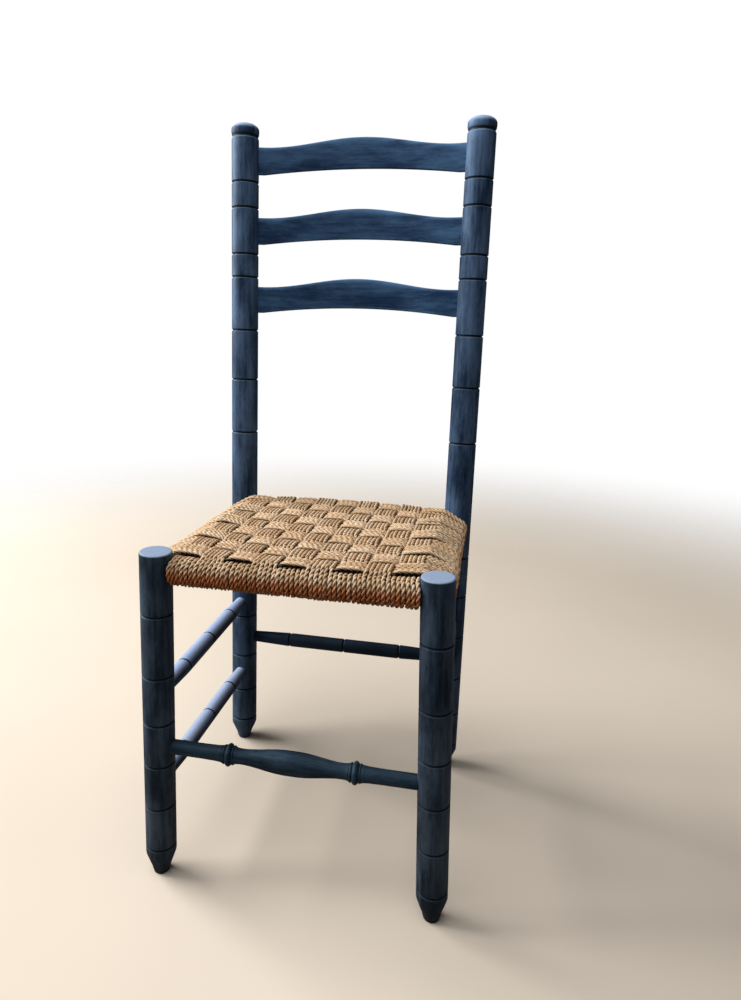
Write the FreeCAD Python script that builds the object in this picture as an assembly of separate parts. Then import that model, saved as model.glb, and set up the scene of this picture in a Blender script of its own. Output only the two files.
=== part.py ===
import FreeCAD, Part
import math
import os

# A ladderback chair with turned posts, bowed slats, turned stretchers and a basket-woven cord seat.
# Millimetres. X is to the right seen from the front, Y to the back, Z up from the floor.
# The frame is set out from the front leg axes. At the end everything moves so that the origin is
# on the floor in the middle of the chair.

V = FreeCAD.Vector

# Overall sizes, measured between post axes
TOTAL_HEIGHT = 1000.0
FRONT_LEG_HEIGHT = 447.0
FRONT_SPREAD_TOP = 333.6
FRONT_SPREAD_FLOOR = 358.6
BACK_SPREAD_TOP = 353.2
BACK_SPREAD_FLOOR = 345.0
DEPTH_FLOOR = 306.9
BACK_RAKE = 62.4  # how far the back posts lean over the whole height

# Turned posts
FRONT_LEG_RADIUS = 19.6
BACK_POST_RADIUS = 20.6
FOOT_RADIUS = 10.0
FOOT_KNEE_RADIUS = 12.4  # the foot's taper is steep down to here and gentler below
FOOT_KNEE_HEIGHT = 10.0
FOOT_LAND = 9.6  # plain band between the foot's taper and the lowest groove
FOOT_CUT_ALLOWANCE = 2.0  # the foot is turned this much too long and cut off level
LEG_TOP_BEVEL = 2.5
CAP_HEIGHT = 20.0  # button on top of the back post, above its groove
CAP_SHOULDER = 8.0  # width and depth of the cap's rounding
CAP_CROWN = 2.0  # rise of the cap's middle above its rounding
GROOVE_HALF_WIDTH = 1.8
GROOVE_DEPTH = 1.5
FRONT_GROOVES = [43.4, 104.5, 166.0, 224.7, 289.1, 370.6]
BACK_GROOVES = [39.9, 94.5, 155.6, 225.0, 292.0, 355.5, 534.3, 617.9, 694.4, 775.0, 809.2, 877.4, 914.5]

# Joints between round pieces
TENON_CLEARANCE = 0.2
SOCKET_END_GAP = 0.5
STRETCHER_PAST_AXIS = 4.0  # a stretcher's end goes this far past the post axis
RAIL_SHORT_OF_AXIS = 8.0  # seat rails stop short, so that they miss each other in the post

# Seat rails and weave
FRONT_RAIL_HEIGHT = 427.0
BACK_RAIL_HEIGHT = 411.5
SIDE_RAIL_DROP = 8.0
RAIL_RADIUS = 10.0
RAIL_TENON_RADIUS = 7.0
RAIL_SHOULDER_LENGTH = 6.0
GROUPS = 9  # cord groups each way
CORD_THICKNESS = 5.0
CORD_CLEARANCE = 0.15
GROUP_GAP = 4.0
WEAVE_POST_GAP = 1.5  # between the outer side-to-side groups and the posts, along the side rails
WEAVE_CORNER_GAP = 3.8  # between the outer front-to-back groups and the posts
SIDE_KNEE = 8.5  # a side-to-side group lies level for this far before it leaves a side rail

# Stretchers
FRONT_STRETCHER_HEIGHT = 188.0
BACK_STRETCHER_HEIGHT = 185.5
UPPER_SIDE_FRONT_HEIGHT = 259.0
LOWER_SIDE_FRONT_HEIGHT = 135.5
SIDE_STRETCHER_FALL = 8.0  # lower at the back by this much
BAMBOO_END_RADIUS = 8.8
BAMBOO_RADIUS = 10.9
BAMBOO_NODES = [0.235, 0.5, 0.765]  # share of the length between post axes
FRONT_STRETCHER_END_RADIUS = 9.15
BULB = [(60.0, 9.4), (46.0, 10.5), (31.0, 12.6), (14.0, 14.5)]  # (distance from the middle, radius)
RING_PLACE = 81.0  # middle of each ring group from the middle of the stretcher
RING_RADIUS = 14.0
RING_HALF_WIDTH = 6.5
BEAD_RADIUS = 11.4
BEAD_WIDTH = 7.0
BEAD_GROOVE_RADIUS = 9.9
END_TAPER_LENGTH = 20.0

# Ladder slats
SLAT_HEIGHTS = {"top": 947.0, "middle": 844.9, "bottom": 741.8}
SLAT_END_HEIGHT = 39.4
SLAT_HUMP = 15.5
SLAT_ARCH = 10.3
SLAT_THICKNESS = 7.0
SLAT_BOW = 20.0
SLAT_HUMP_HALF_LENGTH = 148.0
SLAT_END_SHORT_OF_AXIS = 7.0


def front_leg_point(height):
    """The left front leg's axis at a height."""
    share = height / FRONT_LEG_HEIGHT
    half = (FRONT_SPREAD_FLOOR + (FRONT_SPREAD_TOP - FRONT_SPREAD_FLOOR) * share) / 2
    return V(-half, 0, height)


def back_post_point(height):
    """The left back post's axis at a height."""
    share = height / TOTAL_HEIGHT
    half = (BACK_SPREAD_FLOOR + (BACK_SPREAD_TOP - BACK_SPREAD_FLOOR) * share) / 2
    return V(-half, DEPTH_FLOOR + BACK_RAKE * share, height)


def mirrored(point):
    return V(-point.x, point.y, point.z)


def mirror(shape):
    return shape.mirror(V(0, 0, 0), V(1, 0, 0))


def lines(profile):
    """Straight stretches of a half profile, through (place along the axis, radius) pairs."""
    return list(zip(profile, profile[1:]))


def revolve(stretches):
    """Turn a half profile about the Z axis.

    A stretch is two (place along the axis, radius) pairs for a line, or three for an arc. The profile
    starts and ends on the axis.
    """
    stretches = stretches + [(stretches[-1][-1], stretches[0][0])]
    edges = []
    for stretch in stretches:
        points = [V(radius, 0, along) for along, radius in stretch]
        curve = Part.Arc(*points) if len(points) == 3 else Part.LineSegment(*points)
        edges.append(curve.toShape())
    return Part.Face(Part.Wire(edges)).revolve(V(0, 0, 0), V(0, 0, 1), 360)


def laid_between(shape, start, end):
    """Move a shape drawn along Z from the origin so that Z runs from start to end."""
    shape.Placement = FreeCAD.Placement(start, FreeCAD.Rotation(V(0, 0, 1), end - start))
    return shape


def groove(along, radius):
    """A V groove, as profile pairs."""
    return [(along - GROOVE_HALF_WIDTH, radius), (along, radius - GROOVE_DEPTH), (along + GROOVE_HALF_WIDTH, radius)]


def grooved_profile(heights, scale, radius):
    """A post's profile pairs from below the floor to above its highest groove."""
    pairs = foot_profile(radius, heights[0] * scale)
    for height in heights:
        pairs += groove(height * scale, radius)
    return pairs


def foot_profile(radius, lowest_groove):
    """The tapered foot, carried on below the floor so that the floor plane can cut it level."""
    top = lowest_groove - GROOVE_HALF_WIDTH - FOOT_LAND
    below = FOOT_CUT_ALLOWANCE
    slope = (FOOT_KNEE_RADIUS - FOOT_RADIUS) / FOOT_KNEE_HEIGHT
    knee = (FOOT_KNEE_HEIGHT, FOOT_KNEE_RADIUS)
    return [(-below, 0), (-below, FOOT_RADIUS - slope * below), knee, (top, radius)]


def cut_level(post):
    """Cut the foot along the floor."""
    return post.cut(Part.makeBox(2000, 2000, 50, V(-1000, -1000, -50)))


# Front leg: flat top with a bevelled rim
def front_leg():
    top = front_leg_point(FRONT_LEG_HEIGHT)
    foot = front_leg_point(0)
    length = (top - foot).Length
    r = FRONT_LEG_RADIUS
    profile = grooved_profile(FRONT_GROOVES, length / FRONT_LEG_HEIGHT, r)
    profile += [(length - LEG_TOP_BEVEL, r), (length, r - LEG_TOP_BEVEL), (length, 0)]
    return cut_level(laid_between(revolve(lines(profile)), foot, top))


# Back post: a button top above the highest groove
def back_post():
    top = back_post_point(TOTAL_HEIGHT)
    foot = back_post_point(0)
    length = (top - foot).Length
    r = BACK_POST_RADIUS
    profile = grooved_profile(BACK_GROOVES + [TOTAL_HEIGHT - CAP_HEIGHT], length / TOTAL_HEIGHT, r)
    crown = length - CAP_CROWN
    shoulder = crown - CAP_SHOULDER
    edge = r - CAP_SHOULDER
    profile.append((shoulder, r))
    corner = CAP_SHOULDER * math.sqrt(0.5)
    side = ((shoulder, r), (shoulder + corner, edge + corner), (crown, edge))
    ball = (edge ** 2 + CAP_CROWN ** 2) / (2 * CAP_CROWN)
    dome = ((crown, edge), (length - ball + math.sqrt(ball ** 2 - (edge / 2) ** 2), edge / 2), (length, 0))
    return cut_level(laid_between(revolve(lines(profile) + [side, dome]), foot, top))


def round_member(start, end, reach, profile):
    """A turned piece between two post axes. reach is where its ends stop, measured from each axis."""
    length = (end - start).Length
    return laid_between(revolve(profile(reach, length - reach)), start, end)


def socket(start, end, reach, radius, post_radius):
    """The hole in the post at start that takes the piece's end."""
    direction = (end - start).normalize()
    begin = start + direction * (reach - SOCKET_END_GAP)
    depth = post_radius * 1.3 - reach + SOCKET_END_GAP
    return Part.makeCylinder(radius + TENON_CLEARANCE, depth, begin, direction)


# Bamboo-turned stretcher: swells to the middle, with a groove at each node
def bamboo_profile(low, high):
    length = low + high
    profile = [(low, 0), (low, BAMBOO_END_RADIUS), (FRONT_LEG_RADIUS, BAMBOO_END_RADIUS)]
    for node in BAMBOO_NODES:
        profile += groove(node * length, BAMBOO_RADIUS)
    profile += [(length - FRONT_LEG_RADIUS, BAMBOO_END_RADIUS), (high, BAMBOO_END_RADIUS), (high, 0)]
    return lines(profile)


# Front stretcher: a long bulb between two groups of a ring and two beads
def front_stretcher_profile(low, high):
    middle = (low + high) / 2

    def ridge(start, width, radius):
        """A turned ridge with a crown half its width."""
        return [(start, BEAD_GROOVE_RADIUS), (start + width / 4, radius), (start + width * 3 / 4, radius)]

    ring_start = RING_PLACE - RING_HALF_WIDTH
    ring_end = RING_PLACE + RING_HALF_WIDTH
    outer_bead = ring_end + BEAD_WIDTH
    half = list(reversed(BULB))
    half += ridge(ring_start - BEAD_WIDTH, BEAD_WIDTH, BEAD_RADIUS)
    half += ridge(ring_start, 2 * RING_HALF_WIDTH, RING_RADIUS)
    half += ridge(ring_end, BEAD_WIDTH, BEAD_RADIUS)
    half += [(outer_bead, BEAD_GROOVE_RADIUS), (outer_bead + END_TAPER_LENGTH, FRONT_STRETCHER_END_RADIUS)]
    half += [(high - middle, FRONT_STRETCHER_END_RADIUS), (high - middle, 0)]
    left = [(middle - distance, radius) for distance, radius in reversed(half)]
    return lines(left + [(middle + distance, radius) for distance, radius in half])


# Seat rail: plain, with a shoulder down to its tenon at each post
def rail_profile(low, high):
    length = low + high
    shoulder = max(FRONT_LEG_RADIUS, BACK_POST_RADIUS) + TENON_CLEARANCE
    full = shoulder + RAIL_SHOULDER_LENGTH
    half = [(low, 0), (low, RAIL_TENON_RADIUS), (shoulder, RAIL_TENON_RADIUS), (full, RAIL_RADIUS)]
    return lines(half + [(length - along, radius) for along, radius in reversed(half)])


def slat(height, grow=0.0):
    """A slat bowed backwards between the back posts. grow widens it all round for its sockets."""
    axis = back_post_point(height)
    half_chord = -axis.x
    radius = (half_chord ** 2 + SLAT_BOW ** 2) / (2 * SLAT_BOW)
    centre = V(0, SLAT_BOW - radius, -100)
    bend = Part.makeCylinder(radius + SLAT_THICKNESS / 2 + grow, 200, centre)
    bend = bend.cut(Part.makeCylinder(radius - SLAT_THICKNESS / 2 - grow, 200, centre))

    end = half_chord - SLAT_END_SHORT_OF_AXIS + grow
    low = -SLAT_END_HEIGHT / 2 - grow
    high = SLAT_END_HEIGHT / 2 + grow
    flat = SLAT_HUMP_HALF_LENGTH
    quarter = flat / 2
    swing = (quarter ** 2 + (SLAT_HUMP / 2) ** 2) / SLAT_HUMP
    sag = swing - math.sqrt(swing ** 2 - (quarter / 2) ** 2)

    def line(x1, z1, x2, z2):
        return Part.LineSegment(V(x1, -60, z1), V(x2, -60, z2)).toShape()

    def curve(*points):
        return Part.Arc(*[V(x, -60, z) for x, z in points]).toShape()

    outline = [
        line(-end, low, -end, high),
        line(-end, high, -flat, high),
        curve((-flat, high), (-flat + quarter / 2, high + sag), (-quarter, high + SLAT_HUMP / 2)),
        curve((-quarter, high + SLAT_HUMP / 2), (0, high + SLAT_HUMP), (quarter, high + SLAT_HUMP / 2)),
        curve((quarter, high + SLAT_HUMP / 2), (flat - quarter / 2, high + sag), (flat, high)),
        line(flat, high, end, high),
        line(end, high, end, low),
        line(end, low, flat, low),
        curve((flat, low), (0, low + SLAT_ARCH), (-flat, low)),
        line(-flat, low, -end, low),
    ]
    prism = Part.Face(Part.Wire(outline)).extrude(V(0, 120, 0))
    board = prism.common(bend)
    lean = math.degrees(math.atan2(BACK_RAKE, TOTAL_HEIGHT))
    board.rotate(V(0, 0, 0), V(1, 0, 0), -lean)
    board.translate(V(0, axis.y, height))
    return board


# Weave. Its own frame lies on the line between the front and back rail axes: X across, Y back along
# that line, Z square to it.
FRONT_RAIL = front_leg_point(FRONT_RAIL_HEIGHT)
BACK_RAIL = back_post_point(BACK_RAIL_HEIGHT)
SIDE_RAIL_FRONT = front_leg_point(FRONT_RAIL_HEIGHT - SIDE_RAIL_DROP)
SIDE_RAIL_BACK = back_post_point(BACK_RAIL_HEIGHT - SIDE_RAIL_DROP)
WEAVE_LENGTH = math.hypot(BACK_RAIL.y - FRONT_RAIL.y, BACK_RAIL_HEIGHT - FRONT_RAIL_HEIGHT)
WEAVE_FALL = math.degrees(math.atan2(FRONT_RAIL_HEIGHT - BACK_RAIL_HEIGHT, BACK_RAIL.y - FRONT_RAIL.y))
WRAP_INNER = RAIL_RADIUS + CORD_CLEARANCE
WRAP_MIDDLE = WRAP_INNER + CORD_THICKNESS / 2
LAYER_STEP = CORD_THICKNESS / 2 + CORD_CLEARANCE / 2
WEAVE_HALF_WIDTH = min(-FRONT_RAIL.x - FRONT_LEG_RADIUS, -BACK_RAIL.x - BACK_POST_RADIUS) - WEAVE_CORNER_GAP
# The first and last side-to-side groups start where the lower layer's underside just clears the rail
WEAVE_RAIL_INSET = math.sqrt(RAIL_RADIUS ** 2 - (WRAP_INNER - LAYER_STEP - CORD_CLEARANCE) ** 2)


def zones(start, end, gap):
    """GROUPS equal stretches between start and end, with gaps between them."""
    width = (end - start - (GROUPS - 1) * gap) / GROUPS
    return [(start + i * (width + gap), start + i * (width + gap) + width) for i in range(GROUPS)]


COLUMNS = zones(-WEAVE_HALF_WIDTH, WEAVE_HALF_WIDTH, GROUP_GAP)
ROWS = zones(WEAVE_RAIL_INSET, WEAVE_LENGTH - WEAVE_RAIL_INSET, GROUP_GAP)
SIDE_ROWS = zones(
    FRONT_LEG_RADIUS + WEAVE_POST_GAP,
    WEAVE_LENGTH - BACK_POST_RADIUS - WEAVE_POST_GAP,
    GROUP_GAP,
)
# The outer side-to-side groups turn in past the posts over this width, at 45 degrees or less
DRAW_IN = max(SIDE_ROWS[0][0] - ROWS[0][0], ROWS[-1][1] - SIDE_ROWS[-1][1])


def weft_is_over(column, row):
    return (column + row) % 2 == 0


def loop_section(run, start, end, drop, knee):
    """A closed band round two rails at start and end, as a face in the plane of (place, height).

    run lists (place, height of the band's middle) along the top, and the bottom mirrors it.
    drop lowers both rails. The band lies level for the length of knee before it leaves each rail.
    """
    def outline(sign):
        """The band's outside (sign 1) or inside (sign -1)."""
        radius = WRAP_MIDDLE + sign * CORD_THICKNESS / 2

        def side(up):
            """The points over the rails (up 1) or under them (up -1), from start to end."""
            level = up * radius - drop
            points = [(start, level), (start + knee, level)]
            points += [(place, up * (height + sign * CORD_THICKNESS / 2)) for place, height in run]
            points += [(end - knee, level), (end, level)]
            return [V(place, 0, height) for place, height in points]

        top = side(1)
        bottom = side(-1)[::-1]
        edges = [Part.LineSegment(a, b).toShape() for a, b in zip(top, top[1:])]
        edges.append(Part.Arc(top[-1], V(end + radius, 0, -drop), bottom[0]).toShape())
        edges += [Part.LineSegment(a, b).toShape() for a, b in zip(bottom, bottom[1:])]
        edges.append(Part.Arc(bottom[-1], V(start - radius, 0, -drop), top[0]).toShape())
        return Part.Wire(edges)

    return Part.makeFace([outline(1), outline(-1)], "Part::FaceMakerBullseye")


def woven_run(crossings, over):
    """Points along a band's top that pass over or under each crossing band."""
    run = []
    for index, (near, far) in enumerate(crossings):
        height = WRAP_MIDDLE + (LAYER_STEP if over(index) else -LAYER_STEP)
        run += [(near, height), (far, height)]
    return run


def in_chair(shape):
    """Set a shape from the weave's frame into the chair."""
    shape.rotate(V(0, 0, 0), V(1, 0, 0), -WEAVE_FALL)
    shape.translate(V(0, FRONT_RAIL.y, FRONT_RAIL_HEIGHT))
    return shape


def warp_group(column):
    """A front-to-back group round the front and back rails."""
    left, right = COLUMNS[column]
    run = woven_run(ROWS, lambda row: not weft_is_over(column, row))
    section = loop_section(run, 0, WEAVE_LENGTH, 0, WEAVE_RAIL_INSET / 2)
    band = section.extrude(V(0, right - left, 0))
    band.rotate(V(0, 0, 0), V(0, 0, 1), 90)
    band.translate(V(right, 0, 0))
    return in_chair(band)


def weft_group(row):
    """A side-to-side group round the side rails, drawn together where it passes the posts."""
    near, far = ROWS[row]
    side_near, side_far = SIDE_ROWS[row]
    share = max(side_far, far) / WEAVE_LENGTH
    rail = -SIDE_RAIL_FRONT.x + (SIDE_RAIL_FRONT.x - SIDE_RAIL_BACK.x) * share
    run = woven_run(COLUMNS, lambda column: weft_is_over(column, row))
    low = min(near, side_near) - 1
    high = max(far, side_far) + 1
    section = loop_section(run, -rail, rail, SIDE_RAIL_DROP, SIDE_KNEE)
    band = section.extrude(V(0, high - low, 0))
    band.translate(V(0, low, 0))
    inner = WEAVE_HALF_WIDTH
    outer = inner + DRAW_IN
    beyond = rail + 2 * WRAP_MIDDLE
    plan = [(inner, near), (outer, side_near), (beyond, side_near), (beyond, side_far), (outer, side_far),
            (inner, far)]
    plan += [(-x, y) for x, y in reversed(plan)]
    points = [V(x, y, -60) for x, y in plan + plan[:1]]
    cutter = Part.Face(Part.makePolygon(points)).extrude(V(0, 0, 120))
    return in_chair(band.common(cutter))


# Where each round piece runs, as its ends on the post axes, its reach, tenon radius and shape.
# Left side pieces are drawn and the right ones mirrored.
def across(height, point_at):
    return point_at(height), mirrored(point_at(height))


def along_side(front_height, fall):
    return front_leg_point(front_height), back_post_point(front_height - fall)


STRETCHER_REACH = -STRETCHER_PAST_AXIS
MEMBERS = {
    "seat_rail_front": (across(FRONT_RAIL_HEIGHT, front_leg_point), RAIL_SHORT_OF_AXIS,
                        RAIL_TENON_RADIUS, rail_profile),
    "seat_rail_back": (across(BACK_RAIL_HEIGHT, back_post_point), RAIL_SHORT_OF_AXIS,
                       RAIL_TENON_RADIUS, rail_profile),
    "front_stretcher": (across(FRONT_STRETCHER_HEIGHT, front_leg_point), STRETCHER_REACH,
                        FRONT_STRETCHER_END_RADIUS, front_stretcher_profile),
    "back_stretcher": (across(BACK_STRETCHER_HEIGHT, back_post_point), STRETCHER_REACH,
                       BAMBOO_END_RADIUS, bamboo_profile),
}
SIDE_MEMBERS = {
    "seat_rail_{}": ((SIDE_RAIL_FRONT, SIDE_RAIL_BACK), RAIL_SHORT_OF_AXIS, RAIL_TENON_RADIUS, rail_profile),
    "side_stretcher_{}_upper": (along_side(UPPER_SIDE_FRONT_HEIGHT, SIDE_STRETCHER_FALL),
                                STRETCHER_REACH, BAMBOO_END_RADIUS, bamboo_profile),
    "side_stretcher_{}_lower": (along_side(LOWER_SIDE_FRONT_HEIGHT, SIDE_STRETCHER_FALL),
                                STRETCHER_REACH, BAMBOO_END_RADIUS, bamboo_profile),
}

pieces = {}
front_sockets = []
back_sockets = []

for name, ((start, end), reach, tenon, edges) in MEMBERS.items():
    pieces[name] = round_member(start, end, reach, edges)
    if start.y == 0:
        front_sockets.append(socket(start, end, reach, tenon, FRONT_LEG_RADIUS))
    else:
        back_sockets.append(socket(start, end, reach, tenon, BACK_POST_RADIUS))

for name, ((start, end), reach, tenon, edges) in SIDE_MEMBERS.items():
    member = round_member(start, end, reach, edges)
    pieces[name.format("left")] = member
    pieces[name.format("right")] = mirror(member)
    front_sockets.append(socket(start, end, reach, tenon, FRONT_LEG_RADIUS))
    back_sockets.append(socket(end, start, reach, tenon, BACK_POST_RADIUS))

for name, height in SLAT_HEIGHTS.items():
    pieces["ladder_slat_" + name] = slat(height)
    back_sockets.append(slat(height, grow=TENON_CLEARANCE))

left_leg = front_leg().cut(front_sockets)
left_post = back_post().cut(back_sockets)
pieces["front_leg_left"] = left_leg
pieces["front_leg_right"] = mirror(left_leg)
pieces["rear_post_left"] = left_post
pieces["rear_post_right"] = mirror(left_post)
pieces["seat_warp_cord"] = Part.makeCompound([warp_group(column) for column in range(GROUPS)])
pieces["seat_weft_cord"] = Part.makeCompound([weft_group(row) for row in range(GROUPS)])

# The origin goes to the middle of the chair's depth
chair = Part.makeCompound(list(pieces.values())).optimalBoundingBox(False, False)
middle = (chair.YMin + chair.YMax) / 2
os.makedirs("parts", exist_ok=True)
for name, shape in pieces.items():
    shape.translate(V(0, -middle, 0))
    shape.exportStep("parts/" + name + ".step")
    print(name, len(shape.Solids), shape.isValid(), round(shape.Volume / 1000, 1), "cm3")
print("size", round(chair.XLength, 1), round(chair.YLength, 1), round(chair.ZLength, 1), "middle", round(middle, 2))
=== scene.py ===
import math
import bpy
import numpy as np
from mathutils import Matrix, Vector


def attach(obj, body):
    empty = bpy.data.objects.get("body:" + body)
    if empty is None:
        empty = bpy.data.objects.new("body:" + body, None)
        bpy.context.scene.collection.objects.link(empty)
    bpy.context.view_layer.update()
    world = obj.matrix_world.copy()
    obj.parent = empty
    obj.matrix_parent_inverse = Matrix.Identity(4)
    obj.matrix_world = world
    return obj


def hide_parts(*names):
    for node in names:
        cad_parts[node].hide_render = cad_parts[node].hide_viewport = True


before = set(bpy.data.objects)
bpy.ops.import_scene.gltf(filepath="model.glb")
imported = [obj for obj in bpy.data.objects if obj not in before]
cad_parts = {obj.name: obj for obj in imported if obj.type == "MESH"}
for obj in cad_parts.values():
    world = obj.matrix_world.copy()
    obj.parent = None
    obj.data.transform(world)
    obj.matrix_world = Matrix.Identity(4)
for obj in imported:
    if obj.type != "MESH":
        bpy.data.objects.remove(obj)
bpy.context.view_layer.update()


# Camera. It stands in front of the chair, a little to the right of it and above the seat, and looks
# slightly down, so the floor and both back posts stay in view. The small shift only frames the chair.
CAMERA_PLACE = (0.205228, -0.910717, 0.736245)
CAMERA_RIGHT = Vector((0.980734, 0.194453, 0.018685))
CAMERA_UP = Vector((-0.062594, 0.222200, 0.972990))
CAMERA_BACK = Vector((0.185049, -0.955414, 0.230091))

camera = bpy.data.objects.new("camera", bpy.data.cameras.new("camera"))
bpy.context.collection.objects.link(camera)
camera.data.sensor_width = 36
camera.data.lens = 25.152
camera.data.shift_x = 0.021265
camera.data.shift_y = -0.029625
camera_turn = Matrix((CAMERA_RIGHT, CAMERA_UP, CAMERA_BACK)).transposed().to_4x4()
camera.matrix_world = Matrix.Translation(CAMERA_PLACE) @ camera_turn
bpy.context.scene.camera = camera


# Studio. A pale floor that keeps the chair's shadow and fades into a white background, a large soft lamp
# high on the left and a weaker one overhead. Only the camera sees the floor and the background at full
# brightness: they throw little light on the chair.
class Wire:
    """A shader value, colour or vector that can be used in plain expressions."""

    def __init__(self, shader, socket):
        self.shader = shader
        self.socket = socket
        self.many = socket.type in ("VECTOR", "RGBA")

    def maths(self, operation, *values):
        """Combines two values, one of which is this one. A vector or colour makes the result one too."""
        many = any(isinstance(v, tuple) or isinstance(v, Wire) and v.many for v in values)
        inputs = [(v,) * 3 if many and isinstance(v, (int, float)) else v for v in values]
        kind = "ShaderNodeVectorMath" if many else "ShaderNodeMath"
        return self.shader.node(kind, {"operation": operation}, dict(enumerate(inputs)))

    def __add__(self, other):
        return self.maths("ADD", self, other)

    def __radd__(self, other):
        return self.maths("ADD", other, self)

    def __rsub__(self, other):
        return self.maths("SUBTRACT", other, self)

    def __mul__(self, other):
        return self.maths("MULTIPLY", self, other)

    def mix(self, low, high):
        """Colour low where this value is 0 and high where it is 1."""
        return self.shader.node("ShaderNodeMix", {"data_type": "RGBA"}, {0: self, 6: low, 7: high}, 2)

    def between(self, low, high):
        """0 at low and below, 1 at high and above, smooth between them."""
        settings = {"interpolation_type": "SMOOTHSTEP"}
        return self.shader.node("ShaderNodeMapRange", settings, {0: self, 1: low, 2: high})

    def z(self):
        """The Z part of a vector."""
        return self.shader.node("ShaderNodeSeparateXYZ", None, {0: self}, "Z")


class Shader:
    """The node tree of one material or of the world."""

    def __init__(self, owner):
        owner.use_nodes = True
        self.tree = owner.node_tree
        self.tree.nodes.clear()

    def node(self, kind, settings=None, inputs=None, output=0):
        """Adds a node, and gives its output. A colour of three numbers gets an alpha of 1."""
        node = self.tree.nodes.new(kind)
        for name, value in (settings or {}).items():
            setattr(node, name, value)
        for name, value in (inputs or {}).items():
            if isinstance(value, Wire):
                self.tree.links.new(value.socket, node.inputs[name])
            else:
                socket = node.inputs[name]
                is_colour = socket.type == "RGBA" and len(value) == 3
                socket.default_value = (*value, 1) if is_colour else value
        return Wire(self, node.outputs[output]) if node.outputs else node

    def geometry(self, output="Position"):
        return self.node("ShaderNodeNewGeometry", None, None, output)

    def attribute(self, name, output="Fac"):
        """A value kept on the mesh's points."""
        return self.node("ShaderNodeAttribute", {"attribute_name": name}, None, output)

    def noise(self, place, scale, detail=3.0, roughness=0.55):
        """Soft random patches, about scale of them to each unit of place."""
        settings = {"noise_dimensions": "3D"}
        inputs = {"Vector": place, "Scale": scale, "Detail": detail, "Roughness": roughness}
        return self.node("ShaderNodeTexNoise", settings, inputs)

    def bump(self, height, strength):
        inputs = {"Strength": strength, "Distance": 0.0005, "Height": height}
        return self.node("ShaderNodeBump", None, inputs)

    def surface(self, **inputs):
        """A principled surface. An underscore stands for a space in an input's name."""
        named = {name.replace("_", " "): value for name, value in inputs.items()}
        principled = self.node("ShaderNodeBsdfPrincipled", None, named)
        self.node("ShaderNodeOutputMaterial", None, {"Surface": principled})


FLOOR_RADIUS = 6.0
FLOOR_CORNERS = 96
FLOOR_COLOUR = (0.64, 0.56, 0.47)
FLOOR_DARKER = (0.92, 0.92, 0.92)  # soft clouds make it this much darker or paler in places
FLOOR_PALER = (1.08, 1.08, 1.08)
FLOOR_PLAIN_TO = 1.1  # the floor shows fully up to this distance
FLOOR_GONE_AT = 2.6
FLOOR_BOUNCE = 0.3  # the floor throws this share of its colour back onto the chair
SURROUND_COLOUR = (0.93, 0.96, 1.0)
SURROUND_LIGHT = 0.07  # how bright the background is to all but the camera

floor_mesh = bpy.data.meshes.new("floor")
angles = np.linspace(0, math.tau, FLOOR_CORNERS, endpoint=False)
rim = [(FLOOR_RADIUS * math.cos(a), FLOOR_RADIUS * math.sin(a), 0) for a in angles]
floor_mesh.from_pydata(rim, [], [range(len(rim))])
floor = bpy.data.objects.new("floor", floor_mesh)
bpy.context.collection.objects.link(floor)
floor_material = bpy.data.materials.new("pale_floor")
floor_mesh.materials.append(floor_material)
shader = Shader(floor_material)
place = shader.geometry()
away = shader.node("ShaderNodeVectorMath", {"operation": "LENGTH"}, {0: place}, 1)
clouds = shader.noise(place, scale=1.6, detail=2.0)
seen = shader.node("ShaderNodeLightPath", None, None, "Is Camera Ray")
shown = seen.mix([FLOOR_BOUNCE * c for c in FLOOR_COLOUR], FLOOR_COLOUR)
colour = shown * clouds.mix(FLOOR_DARKER, FLOOR_PALER)
plain = shader.node("ShaderNodeBsdfDiffuse", None, {"Color": colour})
clear = shader.node("ShaderNodeBsdfTransparent")
gone = away.between(FLOOR_PLAIN_TO, FLOOR_GONE_AT)
faded = shader.node("ShaderNodeMixShader", None, {0: gone, 1: plain, 2: clear})
shader.node("ShaderNodeOutputMaterial", None, {"Surface": faded})

world = bpy.data.worlds.new("surround")
bpy.context.scene.world = world
shader = Shader(world)
seen = shader.node("ShaderNodeLightPath", None, None, "Is Camera Ray")
dim = shader.node("ShaderNodeBackground", None, {"Color": SURROUND_COLOUR, "Strength": SURROUND_LIGHT})
white = shader.node("ShaderNodeBackground", None, {"Color": (1.0, 1.0, 1.0), "Strength": 1.0})
sky = shader.node("ShaderNodeMixShader", None, {0: seen, 1: dim, 2: white})
shader.node("ShaderNodeOutputWorld", None, {"Surface": sky})


def lamp(name, place, target, size, power, colour):
    """A square soft lamp that faces the target."""
    light = bpy.data.lights.new(name, "AREA")
    light.size = size
    light.energy = power
    light.color = colour
    piece = bpy.data.objects.new(name, light)
    piece.location = place
    piece.rotation_euler = (Vector(target) - Vector(place)).to_track_quat("-Z", "Y").to_euler()
    bpy.context.collection.objects.link(piece)


lamp("window", (-3.2, 0.2, 2.3), target=(0, 0, 0.5), size=2.4, power=230, colour=(1.0, 0.99, 0.97))
lamp("ceiling", (-0.4, -0.85, 3.3), target=(0, 0, 0.4), size=2.8, power=76, colour=(1.0, 1.0, 1.0))
bpy.context.scene.view_settings.view_transform = "Standard"


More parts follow.
